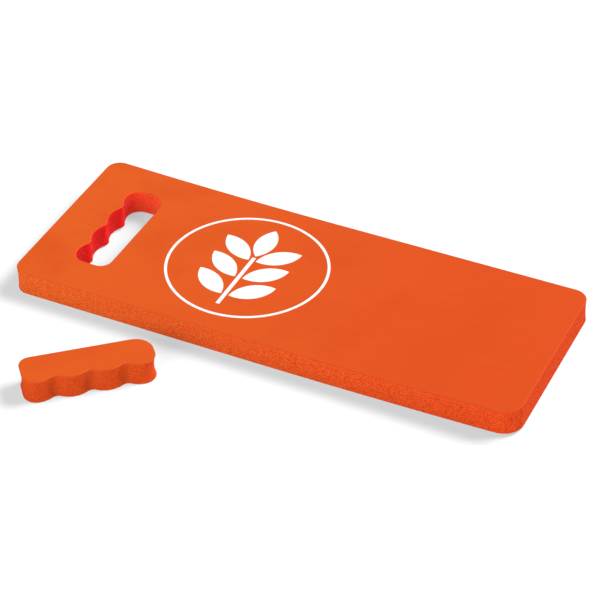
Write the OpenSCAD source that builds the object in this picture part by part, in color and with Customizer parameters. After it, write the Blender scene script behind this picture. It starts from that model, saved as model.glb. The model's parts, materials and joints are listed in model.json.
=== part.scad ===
// Foam kneeling pad with a scalloped hand hole, the piece cut from that hole,
// and a printed badge. Millimetres, +Z up. The origin is at the middle of the
// pad's underside, the pad runs along X, and its hand hole is at the -X end.

/* [Pad] */
// Length of the pad
pad_len = 406; // [340:1:500]
// Width of the pad
pad_w = 159; // [140:1:200]
// Thickness of the foam sheet
foam_t = 19.5; // [12:0.5:40]
// Radius of the pad's corners
pad_corner_r = 11.5; // [4:0.5:30]
// Radius of the near corner at the plain end, which is cut rounder
plain_corner_r = 15; // [4:0.5:30]

/* [Hand hole] */
// Length of the hand hole, across the pad
hole_len = 98; // [96:1:104]
// Width of the hand hole, from its straight side to the finger grooves
hole_w = 30.5; // [30:0.5:40]
// Foam left between the finger grooves and the end of the pad
grip_w = 33.5; // [20:0.5:50]
// Where the middle of the hand hole is, across the pad
hole_y = 1.5; // [-5:0.5:5]
// Distance from one finger groove to the next
finger_pitch = 25.5; // [25:0.5:27]
// Depth of the finger grooves
finger_depth = 3.8; // [2:0.1:4.5]
// Radius of each finger groove
finger_r = 18; // [12:0.5:19]
// Corner radius of the straight side, at the near end of the hole
near_corner_r = 9; // [5:0.5:12]
// Corner radius of the straight side, at the far end of the hole
far_corner_r = 14.5; // [8:0.5:15]

/* [Cut-out piece] */
// Gap that the cutting rule leaves all round the piece in its hole
cut_gap = 0.3; // [0.1:0.1:1]
// Where the middle of the loose piece lies, along the pad
loose_x = -97; // [-160:1:0]
// Where the middle of the loose piece lies, in front of the pad
loose_y = -148; // [-200:1:-140]
// Angle of the loose piece's straight side to the pad's long edges
loose_angle = 41; // [0:1:90]

/* [Printed badge] */
// Outer radius of the ring
ring_r = 63; // [45:1:66]
// Width of the ring's line
ring_line = 2.2; // [1.5:0.1:5]
// Where the middle of the badge is, along the pad
badge_x = -43; // [-60:1:60]
// Thickness of the ink film
ink_t = 0.2; // [0.1:0.1:0.4]
// Length of a leaf
leaf_len = 36; // [20:1:38]
// Width of a leaf
leaf_w = 16; // [8:1:18]
// Angle between a side leaf and the stem
leaf_angle = 52; // [35:1:65]
// Distance along the stem from one pair of leaves to the next
leaf_pitch = 23; // [18:1:24]
// Width of the stem
stem_w = 3; // [2:0.5:5]

/* [Hidden] */
$fn = 96;

// The rounded ends run from the last groove's crest to the end of the hole
crest_r = hole_len / 2 - 1.5 * finger_pitch;
// A groove and the ridge beside it are two arcs that touch, so this pair of
// radii follows from the pitch and the depth
ridge_r = (pow(finger_pitch / 2, 2) + pow(finger_depth, 2)) / (2 * finger_depth) - finger_r;
groove_x = hole_w - finger_r;
ridge_x = hole_w - finger_depth + ridge_r;
groove_ys = [for (i = [-1.5 : 1 : 1.5]) i * finger_pitch];
ridge_ys = [for (i = [-1 : 1 : 1]) i * finger_pitch];
// Room that a cutting shape runs past the face that it cuts
over = 1;

// A rectangle with four corner radii, from [x0, y0] to [x1, y1]. The radii go
// round from the [x0, y0] corner, and the corner centres stay put under inset
module rounded_plate(x0, y0, x1, y1, radii, inset = 0) {
    polygon([
        [x0 + radii[0], y0 + inset], [x1 - radii[1], y0 + inset],
        [x1 - inset, y0 + radii[1]], [x1 - inset, y1 - radii[2]],
        [x1 - radii[2], y1 - inset], [x0 + radii[3], y1 - inset],
        [x0 + inset, y1 - radii[3]], [x0 + inset, y0 + radii[0]]
    ]);
    translate([x0 + radii[0], y0 + radii[0]]) circle(radii[0] - inset);
    translate([x1 - radii[1], y0 + radii[1]]) circle(radii[1] - inset);
    translate([x1 - radii[2], y1 - radii[2]]) circle(radii[2] - inset);
    translate([x0 + radii[3], y1 - radii[3]]) circle(radii[3] - inset);
}

// What is left out between the finger grooves: a ridge's round nose and the
// wedge that widens from it
module between_grooves(inset) {
    touch_x = groove_x + (finger_r - inset) * (ridge_x - groove_x) / (finger_r + ridge_r);
    for (y = ridge_ys) {
        translate([ridge_x, y]) circle(ridge_r + inset);
        difference() {
            translate([touch_x, y - finger_pitch / 2]) square([hole_w + over - touch_x, finger_pitch]);
            for (side = [-1, 1])
                translate([groove_x, y + side * finger_pitch / 2]) circle(finger_r - inset);
        }
    }
}

// The line of the cutting rule: straight side along the Y axis at x = 0,
// finger grooves towards +X. inset draws it that much smaller all round
module hand_outline(inset = 0) {
    difference() {
        rounded_plate(0, -hole_len / 2, hole_w, hole_len / 2,
                      [near_corner_r, crest_r, crest_r, far_corner_r], inset);
        between_grooves(inset);
    }
}

// The pad: one die-cut sheet of closed-cell foam with a through hand hole
module foam_pad() {
    color("#e65a25")
        difference() {
            linear_extrude(foam_t)
                rounded_plate(-pad_len / 2, -pad_w / 2, pad_len / 2, pad_w / 2,
                              [pad_corner_r, plain_corner_r, pad_corner_r, pad_corner_r]);
            translate([-pad_len / 2 + grip_w + hole_w, hole_y, -over])
                linear_extrude(foam_t + 2 * over)
                    mirror([1, 0]) hand_outline();
        }
}

// The piece cut out of the hand hole, lying on the ground in front of the pad
// with its underside up and its finger grooves away from the pad
module hand_hole_insert() {
    color("#e0501f")
        translate([loose_x, loose_y, 0])
            rotate(loose_angle - 90)
                translate([-hole_w / 2, 0, 0])
                    linear_extrude(foam_t) hand_outline(cut_gap);
}

// The round line of the badge, printed on the pad's top
module printed_ring() {
    color("#fdfbf6")
        translate([badge_x, 0, foam_t])
            linear_extrude(ink_t)
                difference() {
                    circle(ring_r);
                    circle(ring_r - ring_line);
                }
}

// A pointed leaf from the origin along +Y, where two round outlines cross
module leaf(len, w) {
    side_r = (pow(len / 2, 2) + pow(w / 2, 2)) / w;
    translate([0, len / 2])
        intersection() {
            translate([side_r - w / 2, 0]) circle(side_r);
            translate([w / 2 - side_r, 0]) circle(side_r);
        }
}

// The sprig inside the ring: a stem, three pairs of leaves and one at the tip
module printed_leaves() {
    stem_foot = -50;
    first_pair = -38;
    stem_tip = first_pair + 2 * leaf_pitch + 4;
    leaf_gap = 3.2;
    color("#fdfbf6")
        translate([badge_x, 0, foam_t])
            linear_extrude(ink_t) {
                translate([-stem_w / 2, stem_foot]) square([stem_w, stem_tip - stem_foot]);
                translate([0, stem_tip + 2]) leaf(leaf_len, leaf_w);
                for (pair = [0 : 2], side = [-1, 1])
                    translate([side * leaf_gap, first_pair + pair * leaf_pitch])
                        rotate(-side * leaf_angle) leaf(leaf_len, leaf_w);
            }
}

foam_pad();
hand_hole_insert();
printed_ring();
printed_leaves();
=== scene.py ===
import json
import math

import bpy
import bmesh
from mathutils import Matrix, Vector


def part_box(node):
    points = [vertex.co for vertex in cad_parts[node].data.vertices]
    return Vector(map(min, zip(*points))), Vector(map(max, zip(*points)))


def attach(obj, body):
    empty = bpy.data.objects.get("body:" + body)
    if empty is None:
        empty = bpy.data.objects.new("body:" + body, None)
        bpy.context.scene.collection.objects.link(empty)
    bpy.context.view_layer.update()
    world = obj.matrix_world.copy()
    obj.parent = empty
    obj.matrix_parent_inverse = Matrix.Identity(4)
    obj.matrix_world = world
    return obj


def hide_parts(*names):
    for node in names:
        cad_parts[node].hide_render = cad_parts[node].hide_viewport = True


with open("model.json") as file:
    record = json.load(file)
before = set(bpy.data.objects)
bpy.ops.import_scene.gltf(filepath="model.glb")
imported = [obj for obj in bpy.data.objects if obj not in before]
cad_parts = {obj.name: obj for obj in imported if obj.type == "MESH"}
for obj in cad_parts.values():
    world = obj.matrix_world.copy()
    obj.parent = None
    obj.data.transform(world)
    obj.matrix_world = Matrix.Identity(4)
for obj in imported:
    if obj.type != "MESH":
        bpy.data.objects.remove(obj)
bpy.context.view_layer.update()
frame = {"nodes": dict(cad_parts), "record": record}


# ---------------------------------------------------------------- camera, table and light
# The pad lies on a backlit white table, seen from above its front. A soft light high behind its
# right end throws the short grey shadow, and a low one in front of it lights the cut edges.
MM = 0.001
scene = bpy.context.scene
scene.view_settings.view_transform = "Standard"
bpy.ops.object.select_all(action="DESELECT")


def colour(hex_code):
    """An sRGB colour such as "#e65a25" as the linear colour that a shader takes."""
    channels = [int(hex_code[i:i + 2], 16) / 255 for i in (1, 3, 5)]
    return [c / 12.92 if c <= 0.04045 else ((c + 0.055) / 1.055) ** 2.4 for c in channels] + [1.0]


def add_node(tree, kind, links=None, **settings):
    """Adds a node. A name in links is one of its inputs, given a number, a colour or a socket."""
    made = tree.nodes.new(kind)
    for name, value in settings.items():
        setattr(made, name, value)
    for name, value in (links or {}).items():
        if isinstance(value, bpy.types.NodeSocket):
            tree.links.new(value, made.inputs[name])
        else:
            made.inputs[name].default_value = value
    return made


def new_material(name, finish):
    """A node material. finish holds what is the same all over it, as shader inputs by name."""
    material = bpy.data.materials.new(name)
    material.use_nodes = True
    tree = material.node_tree
    tree.nodes.clear()
    shader = add_node(tree, "ShaderNodeBsdfPrincipled", finish)
    add_node(tree, "ShaderNodeOutputMaterial", {"Surface": shader.outputs["BSDF"]})
    return material, tree, shader


aim = Vector((-0.1, 2.5, 0)) * MM
camera_turn, camera_tilt, camera_away = math.radians(25.24), math.radians(37.73), 1526.8 * MM
back = Vector((math.sin(camera_turn) * math.cos(camera_tilt),
               -math.cos(camera_turn) * math.cos(camera_tilt),
               math.sin(camera_tilt)))
bpy.ops.object.camera_add(location=aim + back * camera_away,
                          rotation=(math.pi / 2 - camera_tilt, 0, camera_turn))
camera = bpy.context.object
camera.data.lens = 121.04
camera.data.sensor_width = 36
camera.data.clip_end = 50
scene.camera = camera

table_size = 12
bpy.ops.mesh.primitive_plane_add(size=table_size)
table = bpy.context.object
table.name = "studio_floor"
# Opal acrylic, lit from below: matt, so white that it blows out, and its own light keeps the
# shadows open.
opal_acrylic, tree, shader = new_material("opal_acrylic_table", {
    "Base Color": colour("#ebebeb"), "Roughness": 0.9, "Specular IOR Level": 0.0,
    "Emission Color": colour("#ffffff"), "Emission Strength": 0.19})
table.data.materials.append(opal_acrylic)


def add_softbox(name, place, size, power):
    """A square soft light that faces the middle of the pad, in metres and watts."""
    bpy.ops.object.light_add(type="AREA", location=place)
    light = bpy.context.object
    light.name = name
    light.data.size = size
    light.data.energy = power
    light.rotation_euler = Vector(place).to_track_quat("Z", "Y").to_euler()


add_softbox("key_softbox", place=(2.15, 2.2, 2.85), size=2.3, power=180)
add_softbox("front_softbox", place=(-0.5, -1.75, 1.0), size=1.3, power=19.4)

world = bpy.data.worlds.new("white_room")
world.use_nodes = True
room_light = world.node_tree.nodes["Background"]
room_light.inputs["Color"].default_value = (1, 1, 1, 1)
room_light.inputs["Strength"].default_value = 0.33
scene.world = world


# ---------------------------------------------------------------- foam pad
# The pad is one sheet of closed-cell foam, moulded with a thin smooth skin on both faces and
# then cut through with a steel rule. The rule squeezes the foam as it cuts, so the cut edges
# spring back slightly hollow, with soft rims, and the finished pad never lies quite flat.
pad_low, pad_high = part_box("foam_pad")
corner_lift_far, corner_lift_near = 4.0 * MM, 3.0 * MM
end_slant, slant_run = 1.2 * MM, 12 * MM


def open_outline(node, name, weld):
    """A copy of a CAD node's mesh, merged into large flat faces and left open in edit mode."""
    piece = bpy.data.objects.new(name, frame["nodes"][node].data.copy())
    piece.data.name = name
    piece.data.materials.clear()
    scene.collection.objects.link(piece)
    bpy.ops.object.select_all(action="DESELECT")
    bpy.context.view_layer.objects.active = piece
    piece.select_set(True)
    bpy.ops.object.mode_set(mode="EDIT")
    bpy.ops.mesh.select_all(action="SELECT")
    bpy.ops.mesh.remove_doubles(threshold=weld)
    bpy.ops.mesh.dissolve_limited(angle_limit=math.radians(0.4))
    return piece


def cut_into_grid(low, high, cell):
    """Cuts the open mesh along X and Y into squares of about cell."""
    for axis in (0, 1):
        steps = math.ceil((high[axis] - low[axis]) / cell)
        for i in range(1, steps):
            place, direction = [0, 0, 0], [0, 0, 0]
            place[axis] = low[axis] + (high[axis] - low[axis]) * i / steps
            direction[axis] = 1
            bpy.ops.mesh.select_all(action="SELECT")
            bpy.ops.mesh.bisect(plane_co=place, plane_no=direction)


def die_cut_foam(node, name, rim, hollow, cell):
    """A new mesh on a CAD outline, with round rims, hollow cut walls and an even grid of faces.

    rim is the radius of its edges, hollow how far the walls pull in at mid-height, and cell
    the spacing of its grid of faces, all in metres.
    """
    low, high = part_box(node)
    same_place = 0.01 * MM
    piece = open_outline(node, name, weld=same_place)

    # Round the rims, where a flat face meets a cut wall
    bpy.ops.mesh.select_mode(type="EDGE")
    mesh_edit = bmesh.from_edit_mesh(piece.data)
    for edge in mesh_edit.edges:
        edge.select_set(len(edge.link_faces) == 2
                        and abs(edge.link_faces[0].normal.z - edge.link_faces[1].normal.z) > 0.5)
    bpy.ops.mesh.bevel(offset=rim, segments=2, profile=0.5, affect="EDGES")

    # A narrow band inside each rim keeps the rounding tight once the mesh is smoothed
    bpy.ops.mesh.select_mode(type="FACE")
    mesh_edit = bmesh.from_edit_mesh(piece.data)
    for face in mesh_edit.faces:
        face.select_set(abs(face.normal.z) > 0.99)
    bpy.ops.mesh.inset(thickness=rim, use_boundary=True)

    # Levels up the wall, the outer two just clear of the rims, then a grid over the whole piece
    height = high.z - low.z
    wall_steps, rim_room = 6, rim * 1.8
    levels = [low.z + height * i / wall_steps for i in range(1, wall_steps)]
    levels = [low.z + rim_room] + levels + [high.z - rim_room]
    for level in levels:
        bpy.ops.mesh.select_all(action="SELECT")
        bpy.ops.mesh.bisect(plane_co=(0, 0, level), plane_no=(0, 0, 1))
    cut_into_grid(low, high, cell)

    # Pull each level of the wall in along its normals. The power makes the hollow steep beside
    # the rims and flat in the middle
    bpy.ops.mesh.select_mode(type="VERT")
    for level in levels:
        mesh_edit = bmesh.from_edit_mesh(piece.data)
        for vert in mesh_edit.verts:
            vert.select_set(abs(vert.co.z - level) < same_place)
        mesh_edit.select_flush_mode()
        depth = hollow * math.sin(math.pi * (level - low.z) / height) ** 0.8
        bpy.ops.transform.shrink_fatten(value=-depth)
    bpy.ops.object.mode_set(mode="OBJECT")

    # Split the faces with more than four sides, and smooth the whole mesh once
    split = piece.modifiers.new("split", "TRIANGULATE")
    split.min_vertices = 5
    bpy.ops.object.modifier_apply(modifier=split.name)
    smooth = piece.modifiers.new("smooth", "SUBSURF")
    smooth.levels = smooth.render_levels = 1
    bpy.ops.object.modifier_apply(modifier=smooth.name)
    bpy.ops.object.shade_smooth()
    return piece


def pad_warp(x, y):
    """How far the pad stands off its flat shape at a point: two opposite corners curl up."""
    along = x / pad_high.x
    across = y / pad_high.y
    lift = corner_lift_far * (1 + across) / 2 if x < 0 else corner_lift_near * (1 - across) / 2
    return lift * along ** 2


pad = die_cut_foam("foam_pad", "foam_sheet", rim=0.6 * MM, hollow=0.5 * MM, cell=7 * MM)
for vert in pad.data.vertices:
    # The rule leaned a little at the plain end, so the underside is longer there than the top
    end_part = max(0, (vert.co.x - pad_high.x) / slant_run + 1)
    vert.co.x += end_slant * end_part * (1 - vert.co.z / pad_high.z)
    vert.co.z += pad_warp(vert.co.x, vert.co.y)


# Closed-cell EVA foam, the moulded skin: matt and even, with faint lengthwise flow streaks,
# soft redder patches where the pigment is denser, and a fine pebble. The real pebble is too
# fine to show, so it is drawn coarser than it is.
patch_size, streak_width, pebble_size = 45 * MM, 2.2 * MM, 0.9 * MM
streak_stretch = 20
foam_ior = 1.48
skin, tree, shader = new_material("eva_foam_moulded_skin", {
    "Roughness": 0.62, "IOR": foam_ior, "Specular IOR Level": 0.12})
place = add_node(tree, "ShaderNodeTexCoord").outputs["Object"]
along = add_node(tree, "ShaderNodeSeparateXYZ", {"Vector": place})
# Painted falloff of light: the skin grows a little darker and redder from the hand-hole end towards the
# plain end, standing in for light that fades along the pad
painted_falloff = add_node(tree, "ShaderNodeMapRange", {"Value": along.outputs["X"], "From Min": pad_low.x,
                                              "From Max": pad_high.x * 0.7})
tone_with_painted_falloff = add_node(tree, "ShaderNodeMix", {"Factor": painted_falloff.outputs["Result"], "A": colour("#dd5c1d"),
                                              "B": colour("#d74c15")}, data_type="RGBA")
patches = add_node(tree, "ShaderNodeTexNoise", {"Vector": place, "Scale": 1 / patch_size, "Detail": 2.0})
patch_range = add_node(tree, "ShaderNodeMapRange", {"Value": patches.outputs["Fac"], "From Min": 0.5,
                                                   "From Max": 0.75, "To Max": 0.5})
base = add_node(tree, "ShaderNodeMix", {"Factor": patch_range.outputs["Result"],
                                        "A": tone_with_painted_falloff.outputs["Result"], "B": colour("#d24a12")},
                data_type="RGBA")
streak_space = add_node(tree, "ShaderNodeMapping", {"Vector": place, "Scale": (1 / streak_stretch, 1, 1)})
streaks = add_node(tree, "ShaderNodeTexNoise", {"Vector": streak_space.outputs["Vector"],
                                                "Scale": 1 / streak_width, "Detail": 3.0})
streak_shade = add_node(tree, "ShaderNodeMapRange", {"Value": streaks.outputs["Fac"], "To Min": 0.95,
                                                     "To Max": 1.05})
tint = add_node(tree, "ShaderNodeVectorMath", {0: base.outputs["Result"],
                                               1: streak_shade.outputs["Result"]}, operation="MULTIPLY")
tree.links.new(tint.outputs["Vector"], shader.inputs["Base Color"])
pebble = add_node(tree, "ShaderNodeTexNoise", {"Vector": place, "Scale": 1 / pebble_size, "Detail": 4.0})
bump = add_node(tree, "ShaderNodeBump", {"Height": pebble.outputs["Fac"], "Strength": 0.25,
                                         "Distance": 0.1 * MM})
tree.links.new(bump.outputs["Normal"], shader.inputs["Normal"])


# The same foam where the rule has cut it open: burst cells, pits and bright walls side by side,
# a little deeper and redder than the skin. The real cells are a few tenths of a millimetre
# across, too fine to show, so they are drawn about twice as coarse.
def cut_cell_foam(name, fleck, bright, dark, painted_end_shade):
    """A material of open cells that are fleck across.

    bright and dark are the colours of cell walls and pits, each at the pad's hand-hole end and
    at its plain end; the change between the two ends is a painted falloff of light, redder
    towards the plain end. The end shade is painted shade: the cut face of the plain end itself
    is darkened to this fraction of its colour, against the key light that falls on it from behind.
    """
    material, tree, shader = new_material(name, {
        "Roughness": 0.85, "IOR": foam_ior, "Specular IOR Level": 0.02})
    place = add_node(tree, "ShaderNodeTexCoord").outputs["Object"]
    cell_pits = add_node(tree, "ShaderNodeTexVoronoi", {"Vector": place, "Scale": 1 / fleck})
    grain = add_node(tree, "ShaderNodeTexNoise", {"Vector": place, "Scale": 1 / fleck, "Detail": 4.0})
    mixed = add_node(tree, "ShaderNodeMath", {0: cell_pits.outputs["Distance"], 1: grain.outputs["Fac"]},
                     operation="MULTIPLY")
    cell_range = add_node(tree, "ShaderNodeMapRange", {"Value": mixed.outputs["Value"], "From Min": 0.12,
                                                       "From Max": 0.34})
    along = add_node(tree, "ShaderNodeSeparateXYZ", {"Vector": place})
    # Painted falloff of light, as on the skin: walls and pits grow redder from the hand-hole end towards
    # the plain end
    painted_falloff = add_node(tree, "ShaderNodeMapRange", {"Value": along.outputs["X"], "From Min": pad_low.x,
                                                  "From Max": pad_high.x})
    cell_wall = add_node(tree, "ShaderNodeMix", {"Factor": painted_falloff.outputs["Result"], "A": colour(bright[0]),
                                                 "B": colour(bright[1])}, data_type="RGBA")
    cell_pit = add_node(tree, "ShaderNodeMix", {"Factor": painted_falloff.outputs["Result"], "A": colour(dark[0]),
                                                "B": colour(dark[1])}, data_type="RGBA")
    base = add_node(tree, "ShaderNodeMix", {"Factor": cell_range.outputs["Result"],
                                            "A": cell_wall.outputs["Result"],
                                            "B": cell_pit.outputs["Result"]}, data_type="RGBA")
    # Painted shade on the plain end's cut face, darkened towards the very end against the key light that
    # falls on it from behind
    shade_from, shade_full = pad_high.x - 2.5 * MM, pad_high.x - 0.5 * MM
    painted_end_darkening = add_node(tree, "ShaderNodeMapRange", {"Value": along.outputs["X"], "From Min": shade_from,
                                                      "From Max": shade_full, "To Min": 1.0,
                                                      "To Max": painted_end_shade})
    base_with_painted_shade = add_node(tree, "ShaderNodeVectorMath", {0: base.outputs["Result"],
                                                    1: painted_end_darkening.outputs["Result"]}, operation="MULTIPLY")
    tree.links.new(base_with_painted_shade.outputs["Vector"], shader.inputs["Base Color"])
    bump = add_node(tree, "ShaderNodeBump", {"Height": mixed.outputs["Value"], "Strength": 0.6,
                                             "Distance": 0.25 * MM}, invert=True)
    tree.links.new(bump.outputs["Normal"], shader.inputs["Normal"])
    return material


def dress_foam(piece, cut_material):
    """Skin on the two moulded faces and well over their rims, open cells on the cut walls."""
    skin_slope = 0.4
    piece.data.materials.append(skin)
    piece.data.materials.append(cut_material)
    for face in piece.data.polygons:
        face.material_index = 0 if abs(face.normal.z) > skin_slope else 1


# The pad's cut walls, with a painted falloff of light along its length and painted shade on the cut face
# of its plain end
pad_cells = cut_cell_foam("eva_foam_cut_cells", fleck=0.7 * MM, bright=("#f87836", "#f66530"),
                          dark=("#d84e17", "#dd350d"), painted_end_shade=0.78)
dress_foam(pad, pad_cells)

# The same open cells down in the hand hole, where most of the light has come through the foam
# itself. That light is partly real, carried through the foam, and partly painted: the walls are
# coloured a clear bright red with little grain, a painted glow redder and brighter than the pad's
# other cut walls, and grow to a painted brighter orange round the hole's far end, lifting it out of
# its shade. The flecks are several cells across, because finer ones don't show on so bright a red.
hole_fleck = 1.2 * MM
# Where the painted red gives way to the painted brighter orange, as x + y of a point on the wall
painted_red_up_to, painted_orange_from = -136 * MM, -114 * MM
hole_cells_painted_glow, tree, shader = new_material("eva_foam_cells_in_the_hand_hole_painted_glow", {
    "Roughness": 0.85, "IOR": foam_ior, "Specular IOR Level": 0.05, "Subsurface Weight": 1.0,
    "Subsurface Radius": (1.0, 0.12, 0.08), "Subsurface Scale": 26 * MM})
place = add_node(tree, "ShaderNodeTexCoord").outputs["Object"]
grain = add_node(tree, "ShaderNodeTexNoise", {"Vector": place, "Scale": 1 / hole_fleck, "Detail": 4.0})
grain_range = add_node(tree, "ShaderNodeMapRange", {"Value": grain.outputs["Fac"], "From Min": 0.35,
                                                    "From Max": 0.65})
diagonal = add_node(tree, "ShaderNodeVectorMath", {0: place, 1: (1, 1, 0)}, operation="DOT_PRODUCT")
painted_far_light = add_node(tree, "ShaderNodeMapRange", {"Value": diagonal.outputs["Value"], "From Min": painted_red_up_to,
                                             "From Max": painted_orange_from})
bright_cell = add_node(tree, "ShaderNodeMix", {"Factor": painted_far_light.outputs["Result"], "A": colour("#da2623"),
                                               "B": colour("#ff5a34")}, data_type="RGBA")
dark_cell = add_node(tree, "ShaderNodeMix", {"Factor": painted_far_light.outputs["Result"], "A": colour("#cd181a"),
                                             "B": colour("#ff3624")}, data_type="RGBA")
base = add_node(tree, "ShaderNodeMix", {"Factor": grain_range.outputs["Result"],
                                        "A": bright_cell.outputs["Result"],
                                        "B": dark_cell.outputs["Result"]}, data_type="RGBA")
tree.links.new(base.outputs["Result"], shader.inputs["Base Color"])
bump = add_node(tree, "ShaderNodeBump", {"Height": grain.outputs["Fac"], "Strength": 0.5,
                                         "Distance": 0.2 * MM})
tree.links.new(bump.outputs["Normal"], shader.inputs["Normal"])

# The hole's wall stands no further than this outside the box of its opening
wall_reach = 9 * MM
# The cut walls in and around the hand hole take the painted glow
pad.data.materials.append(hole_cells_painted_glow)
hole_low, hole_high = [Vector(corner) for corner in frame["record"]["physics"]["openings"][0]["box_m"]]
for face in pad.data.polygons:
    in_hole = all(hole_low[i] - wall_reach < face.center[i] < hole_high[i] + wall_reach for i in (0, 1))
    if in_hole and face.material_index == 1:
        face.material_index = 2
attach(pad, "pad")
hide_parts("foam_pad")


# ---------------------------------------------------------------- printed badge
# The badge is one pass of white screen ink on the skin: a ring and a sprig of leaves. The ink
# is a thin film that follows every curl of the foam under it.

# Screen-print ink, matt and opaque white, a trace creamier where it lies thin. The skin's
# pebble shows through it.
mottle_size = 4 * MM
ink, tree, shader = new_material("white_screen_print_ink", {"Roughness": 0.5, "IOR": 1.5})
place = add_node(tree, "ShaderNodeTexCoord").outputs["Object"]
mottle = add_node(tree, "ShaderNodeTexNoise", {"Vector": place, "Scale": 1 / mottle_size, "Detail": 4.0})
mottle_range = add_node(tree, "ShaderNodeMapRange", {"Value": mottle.outputs["Fac"], "From Min": 0.35,
                                                    "From Max": 0.75})
base = add_node(tree, "ShaderNodeMix", {"Factor": mottle_range.outputs["Result"], "A": colour("#fdfcfa"),
                                        "B": colour("#f8f3ec")}, data_type="RGBA")
tree.links.new(base.outputs["Result"], shader.inputs["Base Color"])
pebble = add_node(tree, "ShaderNodeTexNoise", {"Vector": place, "Scale": 1 / pebble_size, "Detail": 4.0})
bump = add_node(tree, "ShaderNodeBump", {"Height": pebble.outputs["Fac"], "Strength": 0.2,
                                         "Distance": 0.1 * MM})
tree.links.new(bump.outputs["Normal"], shader.inputs["Normal"])


def ink_film(node, name, cell):
    """A printed area on a CAD outline, cut into a grid and laid on the curled pad."""
    film = open_outline(node, name, weld=0.001 * MM)
    cut_into_grid(*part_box(node), cell)
    bpy.ops.object.mode_set(mode="OBJECT")
    for vert in film.data.vertices:
        vert.co.z += pad_warp(vert.co.x, vert.co.y)
    film.data.materials.append(ink)
    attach(film, "pad")
    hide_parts(node)


ink_film("printed_ring", "ink_ring", 6 * MM)
ink_film("printed_leaves", "ink_sprig", 6 * MM)


# ---------------------------------------------------------------- piece cut from the hand hole
# The piece that the rule leaves in the hand hole, pushed out and laid in front of the pad. It
# is the same foam, and as it is narrow its rims and walls have given further under the rule.
insert = die_cut_foam("hand_hole_insert", "cut_out_piece", rim=0.8 * MM, hollow=1.6 * MM, cell=5 * MM)
# Its cut walls show finer cells than the pad's, with less contrast. They take none of the painted
# falloff of light along the pad's length and none of the painted shade at its plain end, so it has
# one pair of colours and no end shade
insert_cells = cut_cell_foam("eva_foam_fine_cut_cells", fleck=0.6 * MM, bright=("#e75c27", "#e75c27"),
                             dark=("#cc3d11", "#cc3d11"), painted_end_shade=1.0)
dress_foam(insert, insert_cells)
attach(insert, "cut_out")
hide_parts("hand_hole_insert")


# ---------------------------------------------------------------- bounce light on the table
# The table stays a neutral white: the foam shades it, but throws none of its own red on it
for foam in (pad, insert):
    foam.visible_diffuse = False
